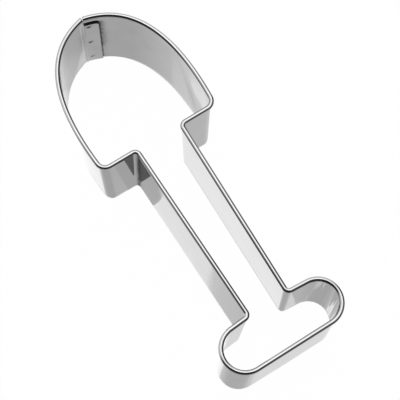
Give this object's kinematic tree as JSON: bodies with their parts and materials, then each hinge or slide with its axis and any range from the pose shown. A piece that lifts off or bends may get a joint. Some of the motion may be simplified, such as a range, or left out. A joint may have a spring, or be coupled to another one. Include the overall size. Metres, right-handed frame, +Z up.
{
  "type": "cookie cutter",
  "caption": "Spade-shaped cookie cutter: a bent stainless-steel strip with a rolled safety rim, lapped and spot-welded at the blade's tip, that presses shapes out of rolled dough.",
  "frame": {"origin": "middle of the bounding box, in the plane of the cutting edge", "axes": "+Z up from the cutting edge to the rolled rim, +Y along the spade from its grip to the blade's tip, +X to the right seen from above with the tip away"},
  "size_m": [0.0296, 0.085, 0.025],
  "materials": {
    "bright_steel": "bright rolled stainless steel strip",
    "fused_steel": "dull fused stainless steel with a pressed print"
  },
  "bodies": {
    "root": {"steel_band": "bright_steel", "spot_weld_lower": "fused_steel", "spot_weld_middle": "fused_steel", "spot_weld_upper": "fused_steel"}
  },
  "joints": []
}
